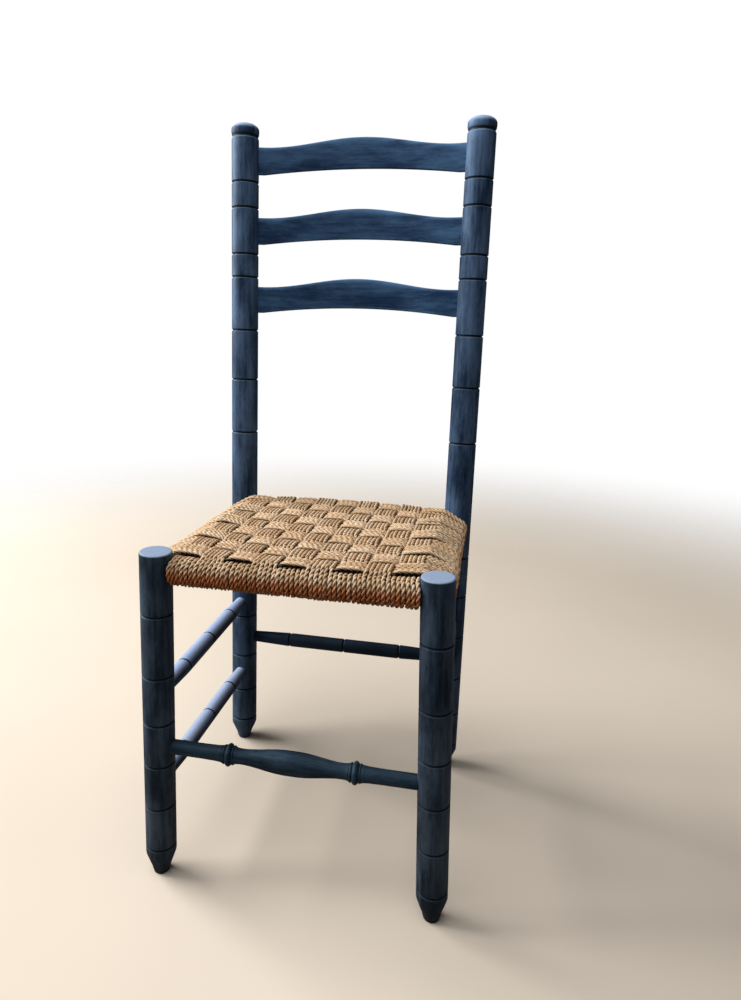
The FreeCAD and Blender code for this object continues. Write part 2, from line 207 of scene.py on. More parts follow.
# Back posts. Two tall hardwood posts, turned with V grooves at uneven steps like bamboo, with a
# button at the top and a tapered foot. Dark blue chalk paint, rubbed back so that grey shows along the grain.
CHAIR_MIDDLE = 186.02  # from the front leg axes to the middle of the chair's depth
TOTAL_HEIGHT = 1000.0
BACK_POST_FOOT = (-172.5, 306.9, 0.0)
BACK_POST_TOP = (-176.6, 369.3, TOTAL_HEIGHT)
BACK_POST_RADIUS = 20.6
BACK_GROOVES = [39.9, 94.5, 155.6, 225.0, 292.0, 355.5, 534.3, 617.9, 694.4, 775.0, 809.2, 877.4, 914.5]
NECK_MIDDLE = 980.0
BUTTON_HEIGHT = 10.0
TURNED_SIDES = 72
LONGEST_STRETCH = 12.0  # along a turned piece between two rings of points

# Lathe profiles are lists of (along, radius, groove shade, rub). groove shade is 1 where the dark of a groove
# is painted in as shade, and rub is 1 where hands and feet wear the paint most.
GROOVE_DEPTH = 1.6
GROOVE_SIDE = [  # from the rim to the middle: (mm from the middle, share of the depth, groove shade, rub)
    (2.7, 0, 0, 0.2), (1.9, 0, 0.05, 0.4), (1.4, 0.2, 0.9, 0), (0.6, 0.85, 1, 0), (0.0, 1.0, 1, 0),
]
FOOT_RADIUS = 10.0
FOOT_KNEE_RADIUS = 12.4
FOOT_KNEE_HEIGHT = 10.0
FOOT_LAND = 11.4  # from the top of the foot's taper to the middle of the lowest groove
FOOT_SPARE = 2.0  # turned too long, for the level cut
NECK = [  # pinched in below the button
    (-3.8, 20.6, 0, 0.3), (-2.4, 20.3, 0.1, 0.8), (-1.4, 19.5, 0.9, 0), (-0.3, 19.2, 1, 0), (0.9, 19.2, 1, 0),
    (2.2, 19.9, 0.7, 0), (3.8, 20.6, 0.2, 0.2),
]
BUTTON = [
    (-4.0, 20.9, 0, 0.3), (-1.0, 21.0, 0, 0.4), (1.6, 20.8, 0, 0.7), (4.0, 19.4, 0, 1), (6.0, 17.2, 0, 1),
    (7.6, 14.4, 0, 1), (8.9, 10.5, 0, 1), (9.7, 6.0, 0, 1), (BUTTON_HEIGHT, 1.0, 0, 1),
]

# top: partly worn paint, partly painted light from above on the button and other parts facing up
BACK_POST_PAINT = {"dark": (0.003, 0.012, 0.038), "rubbed": (0.088, 0.150, 0.265), "top": (0.30, 0.40, 0.57)}

# Each pair says where an effect starts to show and where it shows fully
WEAR = (0.44, 0.80)
HAND_WEAR = (0.3, 0.9)
TOP_LIT_AND_WORN = (0.25, 0.9)
GROOVE_SHADES = (0.25, 0.9)
DUST_CLEARS = (0.02, 0.32)  # heights in metres: dust makes the paint browner near the floor

HAND_WEAR_PALER = 2.0  # than the rubbed colour
DUST_TINT = (0.95, 0.82, 0.66)
# painted shade in the grooves:
GROOVE_SHADE_COLOUR = (0.006, 0.009, 0.015)
PAINT_SHEEN = (0.45, 0.72, 1.0)


def in_metres(points):
    """From millimetres behind the front leg axes to metres round the chair's middle."""
    return (np.asarray(points, float) - (0, CHAIR_MIDDLE, 0)) / 1000


def mirrored(point, sign=-1):
    """The point's mirror image on the other side of the chair, or the point itself where sign is 1."""
    return np.array(point) * (sign, 1, 1)


def build(name, points, faces, marks, material, nodes):
    """Makes a smooth mesh piece that stands for CAD nodes.

    faces is a list of arrays, each with faces of one number of corners, and marks are values or vectors
    kept on the points.
    """
    mesh = bpy.data.meshes.new(name)
    corners = np.concatenate([block.ravel() for block in faces])
    sizes = np.concatenate([np.full(len(block), block.shape[1]) for block in faces])
    starts = np.cumsum(sizes) - sizes
    mesh.vertices.add(len(points))
    mesh.vertices.foreach_set("co", np.asarray(points, np.float32).ravel())
    mesh.loops.add(len(corners))
    mesh.loops.foreach_set("vertex_index", corners.astype(np.int32))
    mesh.polygons.add(len(starts))
    mesh.polygons.foreach_set("loop_start", starts.astype(np.int32))
    for mark, values in marks.items():
        values = np.asarray(values, np.float32)
        is_vector = values.ndim == 2
        layer = mesh.attributes.new(mark, "FLOAT_VECTOR" if is_vector else "FLOAT", "POINT")
        layer.data.foreach_set("vector" if is_vector else "value", values.ravel())
    mesh.update(calc_edges=True)
    mesh.validate()
    mesh.shade_smooth()
    mesh.materials.append(material)
    piece = bpy.data.objects.new(name, mesh)
    bpy.context.collection.objects.link(piece)
    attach(piece, "root")
    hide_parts(*nodes)


def chalk_paint(name, seed, dark, rubbed, top=None):
    """Dark paint over wood, rubbed paler along the grain.

    top is the colour of surfaces that face up, partly worn paint and partly painted light from above.
    seed moves the pattern of the wear.
    """
    material = bpy.data.materials.new(name)
    shader = Shader(material)
    grain = shader.attribute("grain", "Vector") + (seed, seed * 3, seed * 7)
    streaks = shader.noise(grain * (1.0, 1.0, 0.05), scale=230, detail=4.0, roughness=0.6)
    fine = shader.noise(grain * (1.0, 1.0, 0.12), scale=1100, detail=2.0, roughness=0.6)
    patches = shader.noise(grain * (1.0, 1.0, 0.3), scale=34, detail=3.0, roughness=0.6)
    grey = (streaks * 0.32 + patches * 0.7 + fine * 0.2).between(*WEAR)
    colour = grey.mix(dark, rubbed)
    worn = (shader.attribute("rub") * (streaks * 0.8 + patches * 0.8)).between(*HAND_WEAR)
    colour = (worn * 0.6).mix(colour, tuple(HAND_WEAR_PALER * c for c in rubbed))
    if top:
        # painted light from above, mixed with wear: surfaces that face up take the paler top colour
        lit_and_worn_top = shader.geometry("Normal").z().between(*TOP_LIT_AND_WORN)
        colour = (lit_and_worn_top * (0.75 + streaks * 0.3)).mix(colour, top)
    dusty = (1 - shader.geometry().z().between(*DUST_CLEARS)) * 0.6
    colour = dusty.mix(colour, colour * DUST_TINT)
    # painted shade: the grooves are darkened nearly to black
    colour = shader.attribute("groove_shade").between(*GROOVE_SHADES).mix(colour, GROOVE_SHADE_COLOUR)
    shader.surface(
        Base_Color=colour,
        Roughness=0.56 - grey * 0.1 + fine * 0.08,
        Specular_IOR_Level=0.35,
        Specular_Tint=PAINT_SHEEN,
        Normal=shader.bump(streaks * 0.6 + fine * 0.5 + patches * 0.4, strength=0.3),
    )
    return material


def v_groove(along, radius):
    """The profile of a cut groove with its middle at this place."""
    near = [(along - away, radius - GROOVE_DEPTH * deep, dark, rub) for away, deep, dark, rub in GROOVE_SIDE]
    return near + [(2 * along - a, r, dark, rub) for a, r, dark, rub in reversed(near[:-1])]


def foot(radius, lowest_groove):
    """The tapered foot, up to just below the lowest groove."""
    top = lowest_groove - FOOT_LAND
    taper = (radius - FOOT_KNEE_RADIUS) / (top - FOOT_KNEE_HEIGHT)
    return [
        (-FOOT_SPARE, FOOT_RADIUS - 1.2, 0, 0.2), (0.3, FOOT_RADIUS - 0.7, 0, 0.3),
        (1.3, FOOT_RADIUS + 0.3, 0, 0.4), (FOOT_KNEE_HEIGHT, FOOT_KNEE_RADIUS, 0, 0.2),
        (top - 1.2, radius - 1.2 * taper, 0, 0.3), (top, radius - 0.25, 0, 0.6), (top + 1.2, radius, 0, 0.3),
    ]


def grooved(radius, grooves):
    """The profile of a foot and the grooves above it."""
    profile = foot(radius, grooves[0])
    for height in grooves:
        profile += v_groove(height, radius)
    return profile


def moved(profile, along):
    """The same profile, this much further along."""
    return [(along + place, *rest) for place, *rest in profile]


def filled_in(profile):
    """Adds points on the long stretches of a profile."""
    whole = [profile[0]]
    for before, after in zip(profile, profile[1:]):
        count = max(1, int(abs(after[0] - before[0]) / LONGEST_STRETCH))
        for i in range(1, count + 1):
            share = i / count
            whole.append(tuple(a + (b - a) * share for a, b in zip(before, after)))
    return whole


def strip(rings, sides):
    """The quads between rings of points that follow one another along a tube."""
    i, j = np.meshgrid(np.arange(rings - 1), np.arange(sides), indexing="ij")
    right = (j + 1) % sides
    near, far = i * sides, (i + 1) * sides
    return np.stack([near + j, near + right, far + right, far + j], axis=-1).reshape(-1, 4)


def turned(name, start, end, profile, material, node, level=False):
    """A lathe-turned piece from start to end, closed at both ends. level cuts its lowest end on the floor."""
    start = np.array(start, float)
    end = np.array(end, float)
    axis = (end - start) / np.linalg.norm(end - start)
    runs_back = abs(axis[1]) >= 0.9
    side = np.cross((0, 0, 1) if runs_back else (0, 1, 0), axis)
    side /= np.linalg.norm(side)
    other = np.cross(axis, side)
    along, radius, groove_shade, rub = np.array(filled_in(profile), float).T
    angle = np.linspace(0, math.tau, TURNED_SIDES, endpoint=False)
    local = np.stack([
        radius[:, None] * np.cos(angle), radius[:, None] * np.sin(angle), along[:, None] + 0 * angle,
    ], axis=-1).reshape(-1, 3)
    local = np.vstack([local, (0, 0, along[0]), (0, 0, along[-1])])
    points = start + local @ np.array([side, other, axis])
    if level:
        points[:, 2] = np.maximum(points[:, 2], 0)
    first = np.arange(TURNED_SIDES)
    beside = (first + 1) % TURNED_SIDES
    to_last = (len(along) - 1) * TURNED_SIDES
    centre = np.full(TURNED_SIDES, len(along) * TURNED_SIDES)
    faces = [
        strip(len(along), TURNED_SIDES),
        np.stack([centre, beside, first], axis=-1),
        np.stack([centre + 1, to_last + first, to_last + beside], axis=-1),
    ]
    marks = {
        "grain": local / 1000,
        "groove_shade": np.append(np.repeat(groove_shade, TURNED_SIDES), (groove_shade[0], groove_shade[-1])),
        "rub": np.append(np.repeat(rub, TURNED_SIDES), (rub[0], rub[-1])),
    }
    build(name, in_metres(points), faces, marks, material, [node])


post_length = math.dist(BACK_POST_FOOT, BACK_POST_TOP)
stretch = post_length / TOTAL_HEIGHT
back_profile = grooved(BACK_POST_RADIUS, [height * stretch for height in BACK_GROOVES])
back_profile += moved(NECK, NECK_MIDDLE * stretch)
back_profile += moved(BUTTON, post_length - BUTTON_HEIGHT)
for hand, sign, seed in (("left", 1, 2.3), ("right", -1, 5.9)):
    paint = chalk_paint("paint_back_post_" + hand, seed, **BACK_POST_PAINT)
    ends = mirrored(BACK_POST_FOOT, sign), mirrored(BACK_POST_TOP, sign)
    turned("back_post_" + hand, *ends, back_profile, paint, "rear_post_" + hand, level=True)


# Front legs. The same turning without a button: the tops are flat with an eased rim, where hands
# have rubbed the paint paler and painted light from above makes them paler still. The tops stand 1.8 mm above
# the leg's nominal height.
FRONT_LEG_HEIGHT = 447.0
FRONT_LEG_FOOT = (-179.3, 0.0, 0.0)
FRONT_LEG_TOP = (-166.8, 0.0, FRONT_LEG_HEIGHT)
FRONT_LEG_RADIUS = 19.6
FRONT_GROOVES = [43.4, 104.5, 166.0, 224.7, 289.1, 370.6]
FRONT_TOP = [
    (-0.4, 19.6, 0, 0.3), (0.6, 19.3, 0, 0.7), (1.3, 18.7, 0, 1), (1.7, 17.9, 0, 1), (1.8, 16.8, 0, 0.95),
    (1.8, 8.0, 0, 0.9), (1.8, 1.0, 0, 0.9),
]
# top: painted light from above on the flat tops, together with hand wear
FRONT_LEG_PAINT = {"dark": (0.003, 0.008, 0.019), "rubbed": (0.070, 0.102, 0.152), "top": (0.25, 0.32, 0.45)}

leg_length = math.dist(FRONT_LEG_FOOT, FRONT_LEG_TOP)
front_grooves = [height * leg_length / FRONT_LEG_HEIGHT for height in FRONT_GROOVES]
front_profile = grooved(FRONT_LEG_RADIUS, front_grooves)
front_profile += moved(FRONT_TOP, leg_length)
for hand, sign, seed in (("left", 1, 8.1), ("right", -1, 11.7)):
    node = "front_leg_" + hand
    paint = chalk_paint("paint_" + node, seed, **FRONT_LEG_PAINT)
    ends = mirrored(FRONT_LEG_FOOT, sign), mirrored(FRONT_LEG_TOP, sign)
    turned(node + "_turned", *ends, front_profile, paint, node, level=True)


# Slats. Three thin boards, bent backwards and sawn with a hump along the top edge and a shallow
# arch below. Their ends go into slots in the back posts.
SLATS = {"top": 947.0, "middle": 844.9, "bottom": 741.8}  # how high the middle of the slat's ends is
SLAT_END_HEIGHT = 39.4
SLAT_END_INSET = 7.0  # the ends stop this far short of the post's axis
SLAT_HUMP = 15.5
SLAT_HUMP_HALF = 148.0
SLAT_ARCH = 10.3
SLAT_THICKNESS = 7.0
SLAT_BOW = 20.0
SLAT_EDGE = 1.6  # the radius of the rounded long edges
SLAT_WEAR_AND_LIGHT_ABOVE = 0.9  # wear and painted light on the upper edge, and wear on the lower one
SLAT_RUB_BELOW = 0.63
SLAT_STEPS = 140
EDGE_STEPS = 4
SLAT_PAINT = {"dark": (0.005, 0.022, 0.070), "rubbed": (0.058, 0.128, 0.250)}
POST_LEAN = math.atan2(BACK_POST_TOP[1] - BACK_POST_FOOT[1], TOTAL_HEIGHT)


def back_post_at(height):
    """The point on the left post's axis at this height."""
    share = height / TOTAL_HEIGHT
    return np.array(BACK_POST_FOOT) + (np.array(BACK_POST_TOP) - np.array(BACK_POST_FOOT)) * share


def rounded_edge(side, upper, bends):
    """Section points round one long edge: place in the thickness, upper, inset from the edge, and rub."""
    inner = SLAT_THICKNESS / 2 - SLAT_EDGE
    rub = SLAT_WEAR_AND_LIGHT_ABOVE if upper == 1 else SLAT_RUB_BELOW
    return [
        (side * (inner + SLAT_EDGE * math.cos(b)), upper, SLAT_EDGE - SLAT_EDGE * math.sin(b), rub)
        for b in bends
    ]


def slat(name, height, seed):
    """A bowed slat, drawn upright and then leant back like the posts."""
    axis = back_post_at(height)
    half_chord = -axis[0]
    bow_radius = (half_chord ** 2 + SLAT_BOW ** 2) / (2 * SLAT_BOW)
    reach = half_chord - SLAT_END_INSET
    x = np.linspace(-reach, reach, SLAT_STEPS)
    share = np.clip(np.abs(x) / SLAT_HUMP_HALF, 0, 1)
    high = SLAT_END_HEIGHT / 2 + SLAT_HUMP * (0.5 + 0.5 * np.cos(math.pi * share))
    low = -SLAT_END_HEIGHT / 2 + SLAT_ARCH * (1 - share ** 2)
    bends = np.linspace(0, math.pi / 2, EDGE_STEPS)
    half = SLAT_THICKNESS / 2
    section = [
        *rounded_edge(1, 1, bends), *rounded_edge(-1, 1, bends[::-1]),
        (-half, 0.5, 0, 0), (-half, -0.5, 0, 0),  # points down both faces keep the shading even
        *rounded_edge(-1, -1, bends), *rounded_edge(1, -1, bends[::-1]),
        (half, -0.5, 0, 0), (half, 0.5, 0, 0),
    ]
    thick, upper, inset, rub = np.array(section).T
    middle = (high + low) / 2
    span = (high - low) / 2
    z = middle[:, None] + span[:, None] * upper - np.sign(upper) * inset
    bow = SLAT_BOW - bow_radius + np.sqrt((bow_radius + thick[None, :]) ** 2 - x[:, None] ** 2)
    flat = np.stack([x[:, None] + 0 * thick, bow, z], axis=-1).reshape(-1, 3)
    lean, rise = math.sin(POST_LEAN), math.cos(POST_LEAN)
    points = np.stack([
        flat[:, 0],
        flat[:, 1] * rise + flat[:, 2] * lean + axis[1],
        -flat[:, 1] * lean + flat[:, 2] * rise + height,
    ], axis=-1)
    first = np.arange(len(section))
    to_last = (SLAT_STEPS - 1) * len(section)
    faces = [strip(SLAT_STEPS, len(section)), first[None, ::-1], first[None] + to_last]
    marks = {
        "grain": flat[:, [1, 2, 0]] / 1000,
        "groove_shade": np.zeros(len(points)),
        "rub": np.tile(rub, SLAT_STEPS),
    }
    paint = chalk_paint("paint_slat_" + name, seed, **SLAT_PAINT)
    build("slat_" + name, in_metres(points), faces, marks, paint, ["ladder_slat_" + name])


for number, (name, height) in enumerate(SLATS.items()):
    slat(name, height, seed=14.3 + 2.9 * number)


# Side and back stretchers. Round sticks that swell towards the middle, with a groove at each of three
# joints like bamboo. Their ends are glued into the legs. Five of one pattern.
BAMBOO_END_RADIUS = 8.8
BAMBOO_RADIUS = 10.9
BAMBOO_JOINTS = [0.235, 0.5, 0.765]  # as shares of the length
BAMBOO_END = 19.6  # the plain end reaches this far from the leg's axis
PAST_AXIS = 4.0  # and goes this far past it, into the leg
SIDE_STICK_HEIGHTS = {"upper": 259.0, "lower": 135.5}
SIDE_STICK_FALL = 8.0  # towards the back
BACK_STICK_HEIGHT = 185.5
# top: painted light from above on the sticks' upper sides, mixed with wear
SIDE_STICK_PAINT = {"dark": (0.010, 0.022, 0.052), "rubbed": (0.070, 0.115, 0.215), "top": (0.37, 0.48, 0.74)}
# painted shade: the back stick's paint is darker for the shadow under the seat
BACK_STICK_SHADED_PAINT = {"dark": (0.003, 0.007, 0.015), "rubbed": (0.018, 0.032, 0.062)}


def front_leg_at(height):
    """The point on the left leg's axis at this height."""
    rise = np.array(FRONT_LEG_TOP) - np.array(FRONT_LEG_FOOT)
    return np.array(FRONT_LEG_FOOT) + rise * height / FRONT_LEG_HEIGHT


def bamboo(name, start, end, node, seed, paint):
    length = math.dist(start, end)
    profile = [(-PAST_AXIS, BAMBOO_END_RADIUS, 0, 0), (BAMBOO_END, BAMBOO_END_RADIUS, 0, 0.2)]
    for joint in BAMBOO_JOINTS:
        profile += v_groove(joint * length, BAMBOO_RADIUS)
    profile.append((length - BAMBOO_END, BAMBOO_END_RADIUS, 0, 0.2))
    profile.append((length + PAST_AXIS, BAMBOO_END_RADIUS, 0, 0))
    turned(name, start, end, profile, chalk_paint("paint_" + name, seed, **paint), node)


for hand, sign in (("left", 1), ("right", -1)):
    for level, height in SIDE_STICK_HEIGHTS.items():
        start = mirrored(front_leg_at(height), sign)
        end = mirrored(back_post_at(height - SIDE_STICK_FALL), sign)
        node = f"side_stretcher_{hand}_{level}"
        seed = 20 + height / 40 + sign
        bamboo(f"side_stick_{hand}_{level}", start, end, node, seed, SIDE_STICK_PAINT)
start = back_post_at(BACK_STICK_HEIGHT)
bamboo("back_stick", start, mirrored(start), "back_stretcher", seed=31.4, paint=BACK_STICK_SHADED_PAINT)


# Front stretcher. The show piece of the turning: a long bulb in the middle, then a ring between two
# beads on each side, and plain tapered ends.
FRONT_STICK_HEIGHT = 188.0
BULB = [  # (mm from the stretcher's middle, radius)
    (0.0, 14.7), (10.0, 14.6), (20.0, 14.0), (30.0, 12.8), (40.0, 11.4), (48.0, 10.4), (55.0, 9.7),
    (60.0, 9.4), (66.0, 9.4),
]
RING_MIDDLE = 80.0  # the next three are placed from here
RING_NECK = [(-9.5, 9.8, 0, 0.3), (-7.8, 10.6, 0, 0.5)]
RING_RIDGES = [  # (start, width, radius at the foot, radius at the crown)
    (-7.6, 3.6, 10.2, 11.7), (-4.0, 8.0, 10.6, 13.9), (4.0, 3.6, 10.2, 11.7),
]
TAPER = [(7.8, 10.8, 0, 0.5), (10.0, 10.1, 0, 0.4), (16.0, 9.5, 0, 0.2), (34.0, 9.15, 0, 0.2)]
TAPER_END_RADIUS = 9.15
RIDGE_STEPS = 9
FRONT_STICK_PAINT = {"dark": (0.002, 0.008, 0.018), "rubbed": (0.034, 0.062, 0.096)}


def ridge(start, width, low, high):
    """A turned ridge between two radii, with a round crown and a line of painted shade at its foot."""
    crown = []
    for share in np.linspace(0, 1, RIDGE_STEPS):
        radius = low + (high - low) * math.sin(math.pi * share) ** 0.9
        risen = (radius - low) / (high - low)
        crown.append((start + width * share, radius, 1 - min(1, 8 * risen), 0.45 * risen))
    return crown


start = front_leg_at(FRONT_STICK_HEIGHT)
centre = -start[0]
half = [(along, radius, 0, 0.3) for along, radius in BULB]
half += moved(RING_NECK, RING_MIDDLE)
for ridge_start, width, low, high in RING_RIDGES:
    half += ridge(RING_MIDDLE + ridge_start, width, low, high)
half += moved(TAPER, RING_MIDDLE)
half.append((centre + PAST_AXIS, TAPER_END_RADIUS, 0, 0))
front_stick = [(centre - a, *rest) for a, *rest in reversed(half[1:])] + moved(half, centre)
paint = chalk_paint("paint_front_stick", seed=36.6, **FRONT_STICK_PAINT)
turned("front_stick", start, mirrored(start), front_stick, paint, "front_stretcher")


# Seat rails. Plain round rails under the weave, with tenons in the legs. They are bare wood and
# barely show between the cords.
WOOD_DARK = (0.20, 0.12, 0.06)
WOOD_PALE = (0.34, 0.23, 0.13)
WOOD_PALES = (0.35, 0.7)  # where the pale rings start to show, and show fully

bare_wood = bpy.data.materials.new("bare_wood")
shader = Shader(bare_wood)
rings = shader.noise(shader.geometry() * (1.0, 1.0, 0.25), scale=160, detail=4.0)
shader.surface(
    Base_Color=rings.between(*WOOD_PALES).mix(WOOD_DARK, WOOD_PALE),
    Roughness=rings * 0.2 + 0.55,
    Normal=shader.bump(rings, strength=0.2),
)
for node in ("seat_rail_front", "seat_rail_back", "seat_rail_left", "seat_rail_right"):
    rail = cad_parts[node]
    rail.data.materials.clear()
    rail.data.materials.append(bare_wood)


# Woven seat. Two-ply twisted straw cord in two long windings: the warp from front to back round the front
# and back rails, then the weft from side to side round the side rails, over and under about six cords at a
# time, above and below. The tight winding draws each block's cords together and crowds the back corners.
RAIL_RADIUS = 10.0
STRAND_RADIUS = 1.62
STRAND_OFFSET = 1.08  # from the cord's middle to each strand's
STRAND_SIDES = 6
CORD_RADIUS = STRAND_RADIUS + STRAND_OFFSET
WRAP_RADIUS = RAIL_RADIUS + CORD_RADIUS
TWIST_LENGTH = 14.5
CORD_STEP = 1.15  # between two rings of points
QUARTER_WRAP = math.pi * RAIL_RADIUS / 2

FRONT_RAIL_HEIGHT = 427.0
BACK_RAIL_HEIGHT = 411.5
SIDE_DROP = 8.0  # the side rails lie this much lower
FRONT_RAIL = front_leg_at(FRONT_RAIL_HEIGHT)
BACK_RAIL = back_post_at(BACK_RAIL_HEIGHT)
SIDE_FRONT = front_leg_at(FRONT_RAIL[2] - SIDE_DROP)
SIDE_BACK = back_post_at(BACK_RAIL[2] - SIDE_DROP)
WEAVE_LENGTH = math.hypot(BACK_RAIL[1] - FRONT_RAIL[1], FRONT_RAIL[2] - BACK_RAIL[2])
WEAVE_FALL = math.atan2(FRONT_RAIL[2] - BACK_RAIL[2], BACK_RAIL[1] - FRONT_RAIL[1])

GROUPS = 9
WARP_CORDS = 6
WEFT_CORDS = [6, 6, 6, 7, 7, 7, 7, 7, 6]
HALF_FRONT = 147.3  # half the width of the warp at the front, and how much it gains behind
HALF_GAIN = 5.5
FRONT_BULGE = 2.2  # the warp spreads this much past the legs in front of the rail
BULGE_RISES = (2, 12)  # between these distances from the rail's axis

# Rows are places in millimetres along the weave, from the front rail's axis to the back rail's. These are
# the edges of the weft's groups, in the middle of the chair and at its sides.
ROWS_MIDDLE = np.array([3.0, 34, 69, 103, 142, 181, 222, 263, 304, 340])
ROWS_SIDE = np.array([21.0, 56, 92, 128, 166, 202, 235, 264, 291, 312])
ROWS_BEND_TO = 170.0  # the rows bend from the middle places to the side places up to here, in x
ROW_GAP = 4.5  # between two groups of the weft, in the middle
BELOW_FROM = 8.0  # on the underside the weave starts this far from the rail axes

LEVEL = 3.7  # the middle of the weave lies this far outside the rails
SWING = 3.4  # and a cord this far above or below it
SHARPNESS = 2.4  # how steeply it changes from over to under
RAIL_REACH = 9.0  # about this near to a rail the cords lie further out and swing less
RAIL_LIFT = 2.2
RAIL_CALM = 0.15
WARP_EASE = 7  # the warp starts to rise from the rail this far before the weave's first or last row
WEFT_END = 1.5  # the weft turns down this far past the warp's edge
WEFT_RISES = (105, 150)  # it rises to its place on the side rail between these, in x
WEFT_LEAVES = (6, 1)  # and leaves the weave between these distances from its end
CROWDING = 0.75  # every other weft cord rides up by this share of what two crowded cords would need
SIDE_CROWN = 2.0  # and all ride up this much between the rows where the crown is full
CROWN_RISES = (20, 90)
CROWN_FALLS = (200, 280)
PULL = 0.08  # how far a block's cords draw together where they lie on top
SLACK = 4.0  # on the underside the cords hang this much looser near the rails, and then less
SLACK_FADES = (20, 90)
SIDE_SLACK = 3.5  # round the side rails they are this much looser in front, and then less
SIDE_SLACK_FADES = (20, 220)

SMOOTHING = np.array([1, 2, 3, 2, 1]) / 9
SIDE_STRAY = 0.25  # the cord strays this far sideways
OUT_STRAY = 0.2  # and outwards
TWIST_STRAY = 0.08  # shares by which the twist and the thickness vary
THICKNESS_STRAY = 0.05
FIBRES_APART = 40  # the second strand's fibres are taken from this far off in the pattern
BLOCK_SINKS = (0.5, 5.0)  # depths where a cord starts to leave the top of its block, and has left it
GAP_SHADE_DEPTH = 6.0  # for painted shade in the gaps, the sides of a block count as this much deeper than its top below this share of the cord's radius and a cord's lower parts count as this share of their depth deeper
GAP_STARTS = 0.35  # below this share of the cord's radius
ROUND_DEPTH = 0.3  # a cord's lower parts count as this share of their depth deeper

STRAW_DARK = (0.40, 0.26, 0.15)
STRAW_PALE = (0.79, 0.61, 0.42)
STRAW_AGED = (0.80, 0.70, 0.58)  # tints: some turns are browner, painted shade and floor bounce make cord that faces sideways redder, painted shade makes the underside darker, and painted shade makes the groove between the two strands darkest
STRAW_SIDE_SHADE = (1.25, 0.60, 0.33)  # cord that faces sideways is redder,
STRAW_BELOW_SHADE = (0.80, 0.60, 0.45)  # the underside is darker,
STRAW_CREVICE_SHADE = (0.22, 0.14, 0.10)  # and the groove between the two strands is darkest
# painted shade: near black in the gaps between blocks and deep under the crests
GAP_SHADE_COLOUR = (0.016, 0.006, 0.003)

# Each pair says where an effect starts to show and where it shows fully
STRAW_PALES = (0.42, 0.95)
AGE_SHOWS = (0.15, 0.65)
SIDE_SHADE_FADES = (-0.2, 0.75)
BELOW_SHADE_ENDS = (-0.95, -0.35)
CREVICE_SHADE_SHOWS = (0.35, 0.9)
GAP_SHADE_SHOWS = (2.4, 5.2)  # painted shade, by depths under the crests

rng = np.random.default_rng(7)


def smooth(value, low, high):
    share = np.clip((value - low) / (high - low), 0, 1)
    return share * share * (3 - 2 * share)


def half_width(row):
    bulge = FRONT_BULGE * smooth(-row, *BULGE_RISES)
    return HALF_FRONT + HALF_GAIN * np.clip(row, 0, WEAVE_LENGTH) / WEAVE_LENGTH + bulge


def bent(x, middle, side):
    """A row's place at x. Rows lie further back at the sides in front, and further forward behind."""
    return middle + (side - middle) * np.clip(np.abs(x) / ROWS_BEND_TO, 0, 1) ** 2


def below(row):
    """The place on the underside of a row or edge of the top."""
    share = (row - ROWS_MIDDLE[0]) / (ROWS_MIDDLE[-1] - ROWS_MIDDLE[0])
    return BELOW_FROM + (WEAVE_LENGTH - 2 * BELOW_FROM) * share


def near_rail(row):
    return np.exp(-(row / RAIL_REACH) ** 2) + np.exp(-((row - WEAVE_LENGTH) / RAIL_REACH) ** 2)


def slack(row):
    from_rail = np.minimum(row, WEAVE_LENGTH - row)
    return SLACK * smooth(from_rail, -QUARTER_WRAP, 0) * (1 - smooth(from_rail, *SLACK_FADES))


def wave(place, edges, first_over, held):
    """A cord's height along its crossings, 1 where it is over and -1 where it is under.

    It changes at the edges. In the first and last crossing it stays where it is out to the end, if it is
    at held or higher.
    """
    index = np.clip(np.searchsorted(edges, place) - 1, 0, GROUPS - 1)
    share = np.clip((place - edges[index]) / (edges[index + 1] - edges[index]), 0, 1)
    over = np.where((index % 2 == 0) == first_over, 1.0, -1.0)
    share = np.where((index == 0) & (over >= held), np.maximum(share, 0.5), share)
    share = np.where((index == GROUPS - 1) & (over >= held), np.minimum(share, 0.5), share)
    return over * np.tanh(SHARPNESS * np.sin(math.pi * share)) / math.tanh(SHARPNESS)


def on_rails(row, out):
    """A point at this place along the front-to-back line, wrapped over the rails, and this far out."""
    before = np.clip(-row, 0, 2 * QUARTER_WRAP) / RAIL_RADIUS
    after = np.clip(row - WEAVE_LENGTH, 0, 2 * QUARTER_WRAP) / RAIL_RADIUS
    y = np.clip(row, 0, WEAVE_LENGTH) + (RAIL_RADIUS + out) * (np.sin(after) - np.sin(before))
    return y, (RAIL_RADIUS + out) * np.cos(before + after)


